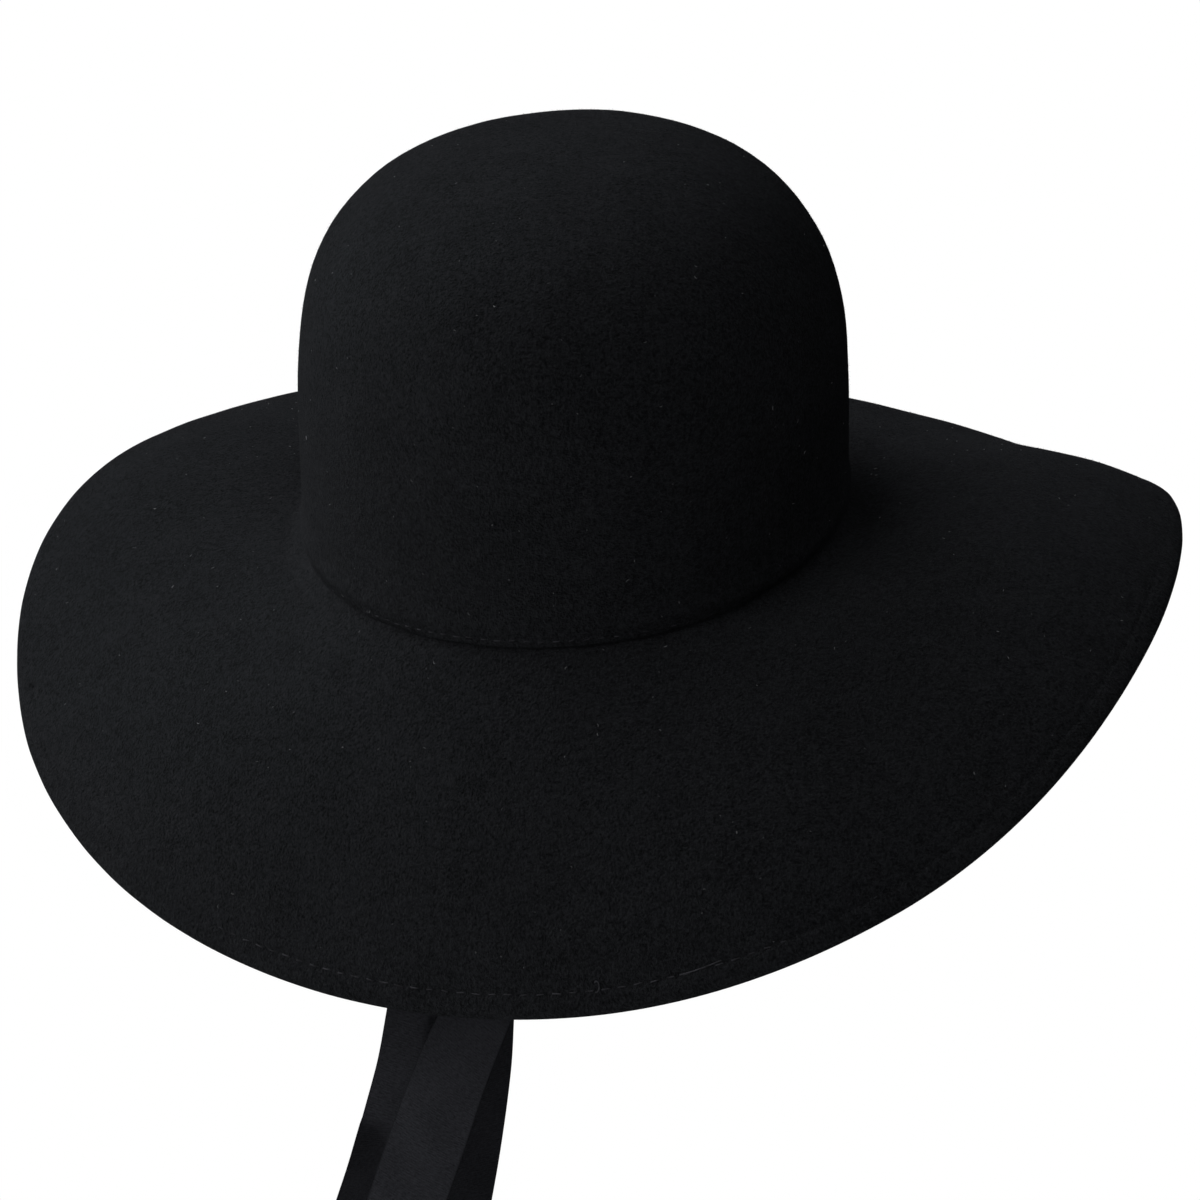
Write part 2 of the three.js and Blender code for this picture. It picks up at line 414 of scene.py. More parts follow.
def woven_material(name, colour, rib, shine):
    """Ribbon with fine ribs across it and painted shade along its selvages. rib is the distance
    from one to the next.
    """
    shader = Shader(name)
    flat, along, across = shader.laid_flat()
    wander = shader.noise(flat, 90) * 0.0006
    ribs = shader.math("SINE", (along + wander) * (TURN / rib))
    drawn_out = shader.node(
        "ShaderNodeVectorMath", {"operation": "MULTIPLY"}, {0: flat, 1: (1.0, 0.4, 1.0)}
    )
    weft = shader.noise(drawn_out, 1500)
    yarn = shader.noise(flat, 1700)
    cloudy = shader.noise(flat, 60)
    woven = ribs * 0.03 + weft * 0.45 + yarn * 0.34 + cloudy * 0.24
    darker = tuple(part * 0.6 for part in colour)
    lighter = tuple(part * 1.4 for part in colour)
    # Painted shade: the colour goes to the darker tone over the last 0.6 mm at each of a tie's
    # selvages. On the sweatband, laid flat from its foot, all above 12.5 mm gets the darker tone.
    selvage, edge = TIE_WIDTH / 2 - 0.0006, TIE_WIDTH / 2
    inside = shader.remap(shader.math("ABSOLUTE", across), selvage, edge, 1.0, 0.0)
    # The share between the tones: the weave's random tone, times the painted selvage shade.
    weave_and_edge_shade = shader.remap(woven, 0.36, 0.64) * inside
    height = ribs * 0.1 + weft * 0.7 + yarn * 0.6
    relief = {"Strength": 0.6, "Distance": 0.0003, "Height": height}
    bump = shader.node("ShaderNodeBump", None, relief)
    return shader.finish(
        Base_Color=shader.mix(weave_and_edge_shade, darker, lighter),
        Roughness=0.6,
        Specular_IOR_Level=shine,
        Normal=bump,
    )


def thread_material(name, colour):
    """Sewing thread or a wool fibre, a little uneven along its length."""
    shader = Shader(name)
    uneven = shader.noise(shader.place(), 400)
    share = shader.remap(uneven, 0.35, 0.65)
    darker = tuple(part * 0.6 for part in colour)
    lighter = tuple(part * 1.5 for part in colour)
    return shader.finish(
        Base_Color=shader.mix(share, darker, lighter),
        Roughness=0.7,
        Specular_IOR_Level=0.05,
    )


# ---- shape of the felt


def unit(vectors):
    """Vectors at length one. One with no length stays as it is."""
    lengths = np.linalg.norm(vectors, axis=1, keepdims=True)
    return vectors / np.where(lengths < 1e-12, 1.0, lengths)


def hermite(before, start, end, after, t):
    """A smooth curve's value between start and end, which are two of four even steps."""
    blend = t * t * (3 - 2 * t)
    leave = (end - before) / 2
    arrive = (after - start) / 2
    return start * (1 - blend) + end * blend + leave * t * (1 - t) ** 2 - arrive * t * t * (1 - t)


def brim_column(column, angle):
    """One column of the brim's table at any angles around the hat, as a smooth closed curve."""
    values = BRIM_SECTIONS[column]
    place = np.mod(angle, TURN) / TURN * len(values)
    row = np.floor(place).astype(int)
    four = [values[(row + step) % len(values)] for step in (-1, 0, 1, 2)]
    return hermite(*four, place - row)


def oval_point(angle, inset=0.0):
    """Points on the oval where the crown meets the brim, or that far inside it."""
    x = (OVAL_HALF_WIDTH - inset) * np.cos(angle)
    y = (OVAL_HALF_LENGTH - inset) * np.sin(angle)
    return np.stack([x, y, OPENING_TILT * x], axis=1)


def oval_outward(angle):
    """Level directions at right angles to the oval."""
    x = np.cos(angle) / OVAL_HALF_WIDTH
    y = np.sin(angle) / OVAL_HALF_LENGTH
    return unit(np.stack([x, y, np.zeros(len(angle))], axis=1))


def dome_shares(lift):
    """The dome's radius and height as shares of its foot's radius and of its full height."""
    return np.cos(lift) ** (2 / TOP_ROUNDNESS), np.sin(lift) ** (2 / WALL_ROUNDNESS)


# Lift angles from the dome's top to its foot, and how far along the dome's line each of them is.
DOME_LIFTS = RIGHT_ANGLE * np.linspace(1, 0, 2001) ** 4
DOME_TRAVEL = np.concatenate([[0], np.cumsum(np.hypot(*np.diff(dome_shares(DOME_LIFTS), axis=1)))])
DOME_TRAVEL /= DOME_TRAVEL[-1]


def felt_face(angle, along):
    """Points on the felt's outer face, at angles around the hat and distances from the middle of
    the flat round of felt."""
    inner = np.radians(brim_column("inner_slope", angle))
    outer = np.radians(brim_column("outer_slope", angle))
    bend = brim_column("bend", angle)
    origin = oval_point(angle)

    # The bend is tangent to the wall and to the brim, and takes this much of each.
    taken = bend * np.tan((RIGHT_ANGLE - inner) / 2)
    foot = origin[:, 2] + taken
    lift = np.interp(np.clip(along / DOME_END, 0, 1), DOME_TRAVEL, DOME_LIFTS)
    radius, height = dome_shares(lift)
    side = radius * np.cos(angle)
    dome_x = origin[:, 0] * radius - CROWN_LEAN * height**3
    dome_z = foot + (CROWN_HEIGHT - foot) * height + CROWN_RAISE * side * height**2
    dome = np.stack([dome_x, origin[:, 1] * radius, dome_z], axis=1)

    bent = np.clip((along - DOME_END) / (BEND_END - DOME_END), 0, 1)
    slope = RIGHT_ANGLE + (inner - RIGHT_ANGLE) * bent
    bend_out = bend * (1 - np.sin(slope))
    bend_up = taken - bend * np.cos(slope)

    # The brim's slope grows evenly from the bend to where the edge starts to turn under.
    curvature = (outer - inner) / (BRIM_WIDTH - FELT_THICKNESS - taken)
    slope = inner + (outer - inner) * np.clip((along - BEND_END) / (EDGE - BEND_END), 0, 1)
    brim_out = np.cos(inner) * taken + (np.sin(slope) - np.sin(inner)) / curvature
    brim_up = -np.sin(inner) * taken + (np.cos(slope) - np.cos(inner)) / curvature

    on_brim = along > BEND_END
    skirt = origin + oval_outward(angle) * np.where(on_brim, brim_out, bend_out)[:, None]
    skirt[:, 2] = origin[:, 2] + np.where(on_brim, brim_up, bend_up)
    return np.where((along > DOME_END)[:, None], skirt, dome)


def felt_frame(angle, along):
    """Points on the outer face, with the directions down the felt, around it and out of it."""
    point = felt_face(angle, along)
    step, turn = 0.0002, 0.001
    down = unit(felt_face(angle, along + step) - felt_face(angle, np.maximum(along - step, 0)))
    around = unit(felt_face(angle + turn, along) - felt_face(angle - turn, along))
    outward = np.where((along < 1e-6)[:, None], [0, 0, 1], unit(np.cross(down, around)))
    return point, down, around, outward


def waves(points, scale, seed):
    """Smooth noise from about -1 to 1 at each point. Scale is the size of its blotches, and each
    seed reads it at another place."""
    shift = Vector((seed * 7.3, seed * 3.1, seed * 5.7))
    return np.array([noise.noise(Vector(point) / scale + shift) for point in points.tolist()])


def ripple(points, size):
    """How far the blocked felt wanders in and out at each point."""
    return size * (waves(points, BROAD_WAVES, 1) + 0.35 * waves(points, SMALL_WAVES, 2))


def seam_line(angle):
    """How far along the felt the sweatband's seam is, at angles around the hat."""
    ways = np.linspace(0, TURN, 121)
    stations = np.linspace(DOME_END - 0.02, BEND_END, 113)
    found = []
    for way in ways:
        line = felt_face(np.full(len(stations), way), stations)
        rise = line[:, 2] - OPENING_TILT * OVAL_HALF_WIDTH * math.cos(way)
        found.append(np.interp(-SEAM_HEIGHT, -rise, stations))
    return np.interp(np.mod(angle, TURN), ways, found)


class SewnLine:
    """A closed line of even stitches on the felt, counted around the hat from +X."""

    def __init__(self, along, pitch):
        self.along = along
        self.angles = np.linspace(0, TURN, 2881)
        points = felt_face(self.angles, along(self.angles))
        travel = np.concatenate([[0], np.cumsum(np.linalg.norm(np.diff(points, axis=0), axis=1))])
        self.length = travel[-1]
        self.count = round(self.length / pitch)
        self.stitches = travel / self.length * self.count

    def stitch_at(self, angle):
        return np.interp(np.mod(angle, TURN), self.angles, self.stitches)

    def angle_at(self, stitch):
        return np.interp(np.mod(stitch, self.count), self.stitches, self.angles)

    def dimples(self, angle):
        """From 0 in the middle of a stitch to 1 where the thread goes through the felt."""
        return 0.5 + 0.5 * np.cos(TURN * self.stitch_at(angle))


def hem_line(context):
    """The hem's stitches, which keep one distance from the edge."""
    place = EDGE - context.scene.hat_felt.hem_width
    pitch = context.scene.hat_thread.hem_pitch
    return SewnLine(lambda angle: np.full(len(angle), place), pitch)


def band_line(context):
    """The sweatband's stitches, as they show on the outside."""
    return SewnLine(seam_line, context.scene.hat_thread.seam_pitch)


def scattered(chance, count, start, end):
    """Random places, even over the felt's area: angles around the hat and distances along it."""
    tries = count * 4
    angle = chance.uniform(0, TURN, tries)
    along = chance.uniform(start, end, tries)
    step = 0.0005
    down = felt_face(angle, along) - felt_face(angle, np.maximum(along - step, 0))
    around = felt_face(angle + step, along) - felt_face(angle, along)
    area = np.linalg.norm(np.cross(down, around), axis=1)
    kept = np.flatnonzero(chance.uniform(0, area.max(), tries) < area)[:count]
    return angle[kept], along[kept]


# ---- mesh helpers


def coordinates(mesh):
    """A mesh's vertices as rows of X, Y and Z."""
    points = np.empty(len(mesh.vertices) * 3, np.float32)
    mesh.vertices.foreach_get("co", points)
    return points.reshape(-1, 3).astype(float)


def place_vertices(mesh, points):
    mesh.vertices.foreach_set("co", points.astype(np.float32).ravel())
    mesh.update()


def mesh_from(bm, name):
    mesh = bpy.data.meshes.new(name)
    bm.to_mesh(mesh)
    bm.free()
    return mesh


def face_corners(mesh):
    """The vertex at each corner of each face."""
    corner = np.empty(len(mesh.loops), int)
    mesh.loops.foreach_get("vertex_index", corner)
    return corner


def lay_flat(mesh, along, across):
    """Notes where each face's corners are with the strip laid flat, in metres."""
    flat = mesh.uv_layers.new(name=FLAT_MAP)
    flat.data.foreach_set("uv", np.stack([along, across], axis=1).ravel())


def edges_along(bm, axis):
    """The edges that run along one axis through a shape of size one."""
    ends = ((edge, *(vertex.co[axis] for vertex in edge.verts)) for edge in bm.edges)
    return [edge for edge, start, end in ends if abs(start - end) > 0.5]


def turned(points, steps):
    """A closed skin, as a lathe makes it, from a line of points in the XZ plane."""
    bm = bmesh.new()
    line = [bm.verts.new(point) for point in points]
    edges = [bm.edges.new(pair) for pair in zip(line, line[1:])]
    bmesh.ops.spin(
        bm,
        geom=edges + line,
        cent=(0, 0, 0),
        axis=(0, 0, 1),
        angle=TURN,
        steps=steps,
        use_merge=True,
    )
    bmesh.ops.remove_doubles(bm, verts=bm.verts, dist=1e-6)
    bmesh.ops.recalc_face_normals(bm, faces=bm.faces)
    return bm


def repeated(bm, count, name):
    """A mesh of so many copies of one piece, all in the same place, and each vertex's copy."""
    single = len(bm.verts)
    mesh = mesh_from(bm, name)
    copies = 1
    while copies < count:
        twice = bmesh.new()
        twice.from_mesh(mesh)
        twice.from_mesh(mesh)
        twice.to_mesh(mesh)
        twice.free()
        copies *= 2
    trimmed = bmesh.new()
    trimmed.from_mesh(mesh)
    trimmed.verts.ensure_lookup_table()
    bmesh.ops.delete(trimmed, geom=trimmed.verts[single * count :], context="VERTS")
    trimmed.to_mesh(mesh)
    trimmed.free()
    return mesh, np.arange(len(mesh.vertices)) // single


def face_outwards(mesh):
    """Turns the faces of a mesh's closed skins outwards, as a left-handed layout turns them in."""
    bm = bmesh.new()
    bm.from_mesh(mesh)
    bmesh.ops.recalc_face_normals(bm, faces=bm.faces)
    bm.to_mesh(mesh)
    bm.free()


def piece(mesh, material, slot, *nodes):
    """Shows a mesh as a piece of the hat, which rides with it and stands for these CAD nodes."""
    face_outwards(mesh)
    mesh.materials.append(material)
    mesh.shade_smooth()
    shown = bpy.data.objects.new(mesh.name, mesh)
    bpy.context.scene.collection.objects.link(shown)
    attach(shown, "root")
    if nodes:
        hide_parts(*nodes)
    return shown


def strand(sides, steps):
    """A straight thread of radius 1 along X from -0.5 to 0.5."""
    bm = bmesh.new()
    bmesh.ops.create_cone(bm, cap_ends=True, segments=sides, radius1=1, radius2=1, depth=1)
    bmesh.ops.subdivide_edges(bm, edges=edges_along(bm, 2), cuts=steps - 1, use_grid_fill=True)
    for vertex in bm.verts:
        vertex.co = vertex.co.zyx
    return bm


# ---- felt


def felt_profile(settings):
    """The flat round of felt from its middle over the top, around the hem and back underneath, as
    points at (distance from the middle, 0, -depth below the outer face)."""
    thick = FELT_THICKNESS
    stitched = settings.hem_width
    raw_edge = stitched + RAW_EDGE
    underside = 2 * FOLD_RADIUS

    def swell(inset):
        """How much fuller the hem is this far in from its fold, or how far it is pinched."""
        full = HEM_FULLNESS * math.sin(math.pi * min(inset / stitched, 1))
        return full - HEM_PINCH * math.exp(-(((inset - stitched) / HEM_GROOVE) ** 2))

    def run(start, end, count, depth=0):
        """Even points along the felt, all at one depth."""
        return [(at, depth) for at in np.linspace(start, end, count)]

    # The points lie closest together at the crown's foot and in the hem.
    dome = run(0, DOME_END - 0.011, 46)
    foot = run(DOME_END - 0.010, DOME_END - 0.0004, 16)
    bend = run(DOME_END, BEND_END, 22)
    brim = run(BEND_END + 0.001, EDGE - stitched - 0.003, 30)
    hem = [(EDGE - inset, -swell(inset)) for inset in np.linspace(raw_edge, 0.0006, 18)]
    fold = [
        (EDGE + FOLD_RADIUS * math.sin(turn), FOLD_RADIUS * (1 - math.cos(turn)))
        for turn in np.linspace(0, math.pi, 9)
    ]
    under = [
        (EDGE - inset, underside + swell(inset))
        for inset in np.linspace(0.0012, raw_edge - 0.0004, 9)
    ]
    cut = [
        (EDGE - raw_edge, underside - 0.0004),
        (EDGE - raw_edge - 0.0001, thick + 0.0003),
        (EDGE - raw_edge - 0.0005, thick),
    ]
    inside_brim = run(EDGE - raw_edge - 0.002, BEND_END + 0.001, 20, thick)
    inside_bend = run(BEND_END, DOME_END, 6, thick)
    inside_dome = run(DOME_END - 0.003, 0, 22, thick)
    whole = dome + foot + bend + brim + hem + fold + under + cut
    whole += inside_brim + inside_bend + inside_dome
    return [(along, 0, -depth) for along, depth in whole]


def refine_hem(bm, settings):
    """Splits the hem's steps around the hat in three, all but underneath, to hold the dimples of
    its stitches."""
    start = EDGE - settings.hem_width - RAW_EDGE - 0.0002
    lowest = 0.0001 - 2 * FOLD_RADIUS

    def on_hem(edge):
        reach = [vertex.co.xy.length for vertex in edge.verts]
        height = [vertex.co.z for vertex in edge.verts]
        level_ring = abs(reach[0] - reach[1]) < 1e-6 and abs(height[0] - height[1]) < 1e-6
        return level_ring and reach[0] > start and height[0] > lowest

    edges = [edge for edge in bm.edges if on_hem(edge)]
    bmesh.ops.subdivide_edges(bm, edges=edges, cuts=2, use_grid_fill=True)


def crease(angle, along):
    """How far the felt rolls out above the crease at the crown's foot, and how far in it goes at
    the crease, which is deepest at the back and uneven all round."""
    off = along - CREASE_AT
    roll = ROLL_HEIGHT * np.exp(-(((off + ROLL_ABOVE) / ROLL_WIDTH) ** 2))
    on_crease = np.abs(off) < 4 * CREASE_WIDTH
    wander = np.zeros(len(off))
    wander[on_crease] = waves(felt_face(angle[on_crease], along[on_crease]), 0.012, 4)
    at_back = np.clip(-np.sin(angle), 0, 1) ** 2
    depth = CREASE_DEPTH + CREASE_BACK * at_back + CREASE_UNEVEN * wander
    return roll - depth * np.exp(-(((off + 0.0006 * wander) / CREASE_WIDTH) ** 2))


def hem_groove(angle, dimples):
    """How far the felt stands out from the pinched line under the hem's stitches. They pull it in
    further where they go through it at the back, and hardly at all away from there."""
    away = np.clip(1 + np.sin(angle), 0, 1)
    return HEM_PINCH * away - HEM_DIMPLE * dimples * (1 - away)


def felt_lift(settings, angle, along):
    """How far the outer face stands out from its even form."""
    return ripple(felt_face(angle, along), settings.waviness) + crease(angle, along)


class HAT_OT_felt_body(bpy.types.Operator):
    """Block the crown and brim from one round of felt"""

    bl_idname = "hat.felt_body"
    bl_label = "Felt Body"

    def execute(self, context):
        settings = context.scene.hat_felt
        bm = turned(felt_profile(settings), settings.steps)
        refine_hem(bm, settings)
        mesh = mesh_from(bm, "felt_body")

        flat = coordinates(mesh)
        angle = np.arctan2(flat[:, 1], flat[:, 0])
        distance = np.hypot(flat[:, 0], flat[:, 1])
        along = np.minimum(distance, EDGE)
        point, down, around, outward = felt_frame(angle, along)

        hem = hem_line(context)
        from_hem = along - hem.along(angle)
        hem_side = np.exp(-((from_hem / HEM_GROOVE) ** 2))
        band = band_line(context)
        band_side = np.exp(-(((along - band.along(angle)) / SEAM_GROOVE) ** 2))
        on_top = flat[:, 2] > -FELT_THICKNESS / 2
        # The inner face follows the crease half as far.
        lift = ripple(point, settings.waviness) + crease(angle, along) * np.where(on_top, 1, 0.5)
        lift += on_top * hem_groove(angle, hem.dimples(angle)) * hem_side
        lift -= (SEAM_PINCH + SEAM_DIMPLE * band.dimples(angle)) * band_side
        for dent in HEM_DENTS:
            from_dent = (angle - math.radians(dent) + math.pi) % TURN - math.pi
            # At the back, Y is about the distance from the hat's middle.
            near = (from_dent * point[:, 1] / DENT_SIZE) ** 2 + (from_hem / DENT_SIZE) ** 2
            lift -= on_top * DENT_DEPTH * np.exp(-near)

        point += outward * (flat[:, 2] + lift)[:, None]
        point += down * (distance - along)[:, None]
        place_vertices(mesh, point)
        piece(mesh, felt_material(settings), "felt", "felt_body")
        return {"FINISHED"}


class HAT_OT_nap(bpy.types.Operator):
    """Raise a short nap of wool fibres on the felt's outer face"""

    bl_idname = "hat.nap"
    bl_label = "Nap"

    def execute(self, context):
        settings = context.scene.hat_felt
        chance = np.random.default_rng(7)
        angle, along = scattered(chance, settings.nap, 0.0, EDGE)
        count = len(angle)
        length = chance.uniform(*NAP_LENGTH, count)
        heading = chance.uniform(0, TURN, count)
        lean = np.radians(chance.uniform(*NAP_LEAN, count))

        bm = bmesh.new()
        bmesh.ops.create_cone(bm, cap_ends=True, segments=3, radius1=1, radius2=0, depth=1)
        bmesh.ops.translate(bm, verts=bm.verts, vec=(0, 0, 0.5))
        mesh, copy = repeated(bm, count, "nap")
        local = coordinates(mesh)
        point, down, around, outward = (part[copy] for part in felt_frame(angle, along))
        turn, lean, length = heading[copy], lean[copy], length[copy]
        flat = down * np.cos(turn)[:, None] + around * np.sin(turn)[:, None]
        fibre = flat * np.sin(lean)[:, None] + outward * np.cos(lean)[:, None]
        across = np.cross(outward, flat)
        base = felt_lift(settings, angle, along)[copy] - NAP_ROOT
        point += fibre * (local[:, 2] * length)[:, None] + outward * base[:, None]
        point += (across * local[:, :1] + np.cross(fibre, across) * local[:, 1:2]) * NAP_RADIUS
        place_vertices(mesh, point)
        piece(mesh, thread_material("nap", settings.nap_colour), "felt")
        return {"FINISHED"}


class HAT_OT_lint(bpy.types.Operator):
    """Scatter a little pale lint on the felt"""

    bl_idname = "hat.lint"
    bl_label = "Lint"

    def execute(self, context):
        settings = context.scene.hat_felt
        chance = np.random.default_rng(11)
        count = settings.lint
        angle = chance.uniform(0, TURN, count)
        along = EDGE * np.sqrt(chance.uniform(0.01, 0.97, count))
        length = LINT_SHORTEST + LINT_LONGER * chance.uniform(0, 1, count) ** 3
        heading = chance.uniform(0, TURN, count)
        curve = chance.uniform(-0.6, 0.6, count)
        radius = chance.uniform(*LINT_RADIUS, count)

        mesh, copy = repeated(strand(4, 4), count, "lint")
        local = coordinates(mesh)
        point, down, around, outward = (part[copy] for part in felt_frame(angle, along))
        base = (felt_lift(settings, angle, along)[copy] + 0.0001)[:, None]
        way = heading[copy] + curve[copy] * local[:, 0] * 2
        forward = down * np.cos(way)[:, None] + around * np.sin(way)[:, None]
        sideways = np.cross(outward, forward)
        thick = (radius[copy] * (1 - 1.2 * local[:, 0] ** 2))[:, None]
        point += forward * (local[:, 0] * length[copy])[:, None]
        point += sideways * local[:, 1:2] * thick + outward * (local[:, 2:3] * thick + base)
        place_vertices(mesh, point)
        piece(mesh, thread_material("lint", LINT_COLOUR), "felt")
        return {"FINISHED"}


# ---- stitches


def sew(felt, line, name, diameter, share, shown, buried, seed):
    """A mesh of short threads along a line on the felt, whose ends dip into it. Each has its own
    length, place, slant and depth."""
    chance = np.random.default_rng(seed)
    mesh, copy = repeated(strand(6, 6), line.count, name)
    local = coordinates(mesh)
    reach = share * chance.uniform(0.8, 1.15, line.count)
    offset = chance.normal(0, 0.00008, line.count)
    slant = chance.normal(0, 0.00012, line.count)
    middle = line.angle_at(np.arange(line.count) + 0.5)
    drift = waves(felt_face(middle, line.along(middle)), 0.02, seed)
    sunk = 0.0001 + chance.uniform(0, 0.0002, line.count) + 0.0002 * drift
    sunk += buried * (1 - np.cos(middle - math.radians(shown)))

    angle = line.angle_at(copy + 0.5 + local[:, 0] * reach[copy])
    along = line.along(angle) + offset[copy] + slant[copy] * local[:, 0] * 2
    point, down, around, outward = felt_frame(angle, along)
    end = np.abs(local[:, 0] * 2)
    rise = felt_lift(felt, angle, along) + THREAD_RISE - sunk[copy] - THREAD_DIP * end**5
    radius = diameter / 2
    point += down * (local[:, 1] * radius)[:, None]
    point += outward * (local[:, 2] * radius * 0.8 + rise)[:, None]
    place_vertices(mesh, point)
    return mesh


def loose_ends(felt, hem, diameter):
    """Where the hem's thread was finished off: a loop that stands up and a long flat stitch."""
    mesh, copy = repeated(strand(6, 28), 2, "loose_ends")
    local = coordinates(mesh)
    travel = local[:, 0] + 0.5

    def route(at):
        """Metres around the hem, down the felt and above it, along both threads."""
        turn = 0.68 * TURN * (at - 0.1)
        arch = 0.0004 * np.sin(math.pi * at)
        loop = [0.0009 * np.sin(turn), 0.0015 * np.cos(turn) - 0.0009, arch]
        flat = [0.0128 * (at - 0.5), -0.0009 * at**2, arch - 0.0002]
        return np.where(copy == 0, loop, flat)

    start = np.radians(np.where(copy == 0, LOOP_AT, LONG_STITCH_AT))
    here = hem.stitch_at(start)
    pitch = hem.length / hem.count
    step = route(travel + 0.001) - route(travel - 0.001)
    sideways, forward, up = route(travel)
    heading = np.arctan2(step[1], step[0])
    radius = diameter / 2
    sideways = sideways - np.sin(heading) * local[:, 1] * radius
    forward = forward + np.cos(heading) * local[:, 1] * radius
    angle = hem.angle_at(here + sideways / pitch)
    point, down, around, outward = felt_frame(angle, hem.along(angle) + forward)
    up = up + ripple(point, felt.waviness)
    place_vertices(mesh, point + outward * (up + local[:, 2] * radius)[:, None])
    return mesh


class HAT_OT_stitches(bpy.types.Operator):
    """Sew the hem and the sweatband"""

    bl_idname = "hat.stitches"
    bl_label = "Stitches"

    def execute(self, context):
        settings = context.scene.hat_thread
        felt = context.scene.hat_felt
        material = thread_material("sewing_thread", settings.colour)
        hem = hem_line(context)
        mesh = sew(felt, hem, "hem_stitches", settings.diameter, **HEM_THREAD)
        piece(mesh, material, "ribbon")
        band = band_line(context)
        mesh = sew(felt, band, "sweatband_stitches", settings.diameter, **SEAM_THREAD)
        piece(mesh, material, "ribbon")
        piece(loose_ends(felt, hem, settings.diameter), material, "ribbon")
        return {"FINISHED"}


# ---- sweatband and ties


class HAT_OT_sweatband(bpy.types.Operator):
    """Line the foot of the crown with a grosgrain band"""

    bl_idname = "hat.sweatband"
    bl_label = "Sweatband"

    def execute(self, context):
        settings = context.scene.hat_ribbon
        thick = settings.sweatband_thickness
        middle = FELT_THICKNESS + SWEATBAND_GAP
        height = SWEATBAND_TOP - SWEATBAND_FOOT
        # The band is turned at this radius first, and then laid inside the crown.
        radius = 0.1
        across = np.linspace(0, 1, 13)
        selvage = 1 + 0.25 * np.exp(-((np.minimum(across, 1 - across) / 0.04) ** 2))
        outside = [(share, -thick / 2 * full) for share, full in zip(across, selvage)]
        inside = [(share, thick / 2 * full) for share, full in zip(across[::-1], selvage[::-1])]
        section = outside + inside + outside[:1]
        bm = turned([(radius - side, 0, share) for share, side in section], 360)
        mesh = mesh_from(bm, "sweatband")

        flat = coordinates(mesh)
        angle = np.arctan2(flat[:, 1], flat[:, 0])
        share = flat[:, 2]
        side = radius - np.hypot(flat[:, 0], flat[:, 1])
        up = np.array([0, 0, 1]) * (SWEATBAND_FOOT + height * share)[:, None]
        wander = ripple(oval_point(angle) + up, context.scene.hat_felt.waviness)
        inset = middle + side + SWEATBAND_LEAN * share**2 - wander
        place_vertices(mesh, oval_point(angle, inset) + up)

        # A face that crosses from the last angle to the first one is kept whole.
        corner = face_corners(mesh)
        around = angle[corner].reshape(-1, 4)
        past = around - around.min(axis=1, keepdims=True) > math.pi
        around = np.where(past, around - TURN, around)
        metres = around.ravel() * (OVAL_HALF_WIDTH + OVAL_HALF_LENGTH) / 2
        lay_flat(mesh, metres, share[corner] * height)

        colour = settings.sweatband_colour
        material = woven_material("grosgrain", colour, rib=0.0013, shine=0.03)
        band = piece(mesh, material, "sweatband", "sweatband")
        ring = oval_point(np.linspace(0, TURN, 721), middle)
        return {"FINISHED"}


def tie_curve(rows, share):
    """The rows' values at shares of the tie's length, along smooth curves through them."""
    table = np.array(rows, float)
    padded = np.concatenate([[2 * table[0] - table[1]], table, [2 * table[-1] - table[-2]]])
    place = np.clip(share, 0, 1) * (len(table) - 1)
    row = np.minimum(np.floor(place).astype(int), len(table) - 2)
    four = [padded[row + step] for step in range(4)]
    return hermite(*four, (place - row)[:, None])


def tie_points(rows, share, across, depth, folded):
    """Points of a tie: share of its length, distance to the right of its middle, depth behind."""
    values = tie_curve(rows, share)
    down = unit((tie_curve(rows, share + 0.002) - tie_curve(rows, share - 0.002))[:, :3])
    front = np.zeros_like(down)
    front[:, 1] = -1
    front = unit(front - down * np.sum(front * down, axis=1, keepdims=True))
    right = np.cross(front, down)
    turn, curl = np.radians(values[:, 3:]).T
    sharp = folded * np.clip((share - FOLD_START) / FOLD_GROWTH, 0, 1)
    # The crease opens out towards the ribbon's right selvage.
    spread = KINK_NARROW + KINK_WIDER * np.clip(0.15 + across / TIE_WIDTH, 0, 1)
    below = folded * np.clip((share - KINK_PLACE) / spread, 0, 1)
    below = below * below * (3 - 2 * below)

    def laid(to_right, below):
        """How far to the right and to the front the ribbon lies, and which way it faces there."""

        def facing(place):
            """An even curl across the width, or one that the fold gathers in one place."""
            even = place / TIE_WIDTH
            fold = 0.12 + 0.62 * np.tanh((place - FOLD_PLACE) / FOLD_SOFTNESS)
            curled = curl * (1 - below) * (even + (fold - even) * sharp)
            return turn + KINK_TURN * below + curled

        # The width is laid out from its middle in short straight pieces.
        pieces = (np.arange(32) + 0.5) / 32
        ways = np.stack([facing(to_right * piece_share) for piece_share in pieces])
        side = to_right * np.cos(ways).mean(axis=0)
        forward = to_right * np.sin(ways).mean(axis=0)
        return side, forward, facing(to_right)

    # Below the crease the face turns away to the right about the ribbon's left selvage.
    left = np.full(len(share), -TIE_WIDTH / 2)
    side, forward, edge = laid(across, below)
    side += laid(left, 0)[0] - laid(left, below)[0]
    forward += laid(left, 0)[1] - laid(left, below)[1]
    sag = KINK_SAG * below * (laid(left, below)[1] - laid(across, below)[1])
    from_crease = np.abs(share - KINK_PLACE) / KINK_REACH
    forward += folded * KINK_RISE * np.clip(1 - from_crease, 0, 1)
    side += depth * np.sin(edge)
    forward -= depth * np.cos(edge)
    return values[:, :3] + right * side[:, None] + front * forward[:, None] + down * sag[:, None]


def tie_length(rows):
    """How long a tie is, along the middle of its width."""
    points = tie_curve(rows, np.linspace(0, 1, 400))[:, :3]
    return float(np.linalg.norm(np.diff(points, axis=0), axis=1).sum())


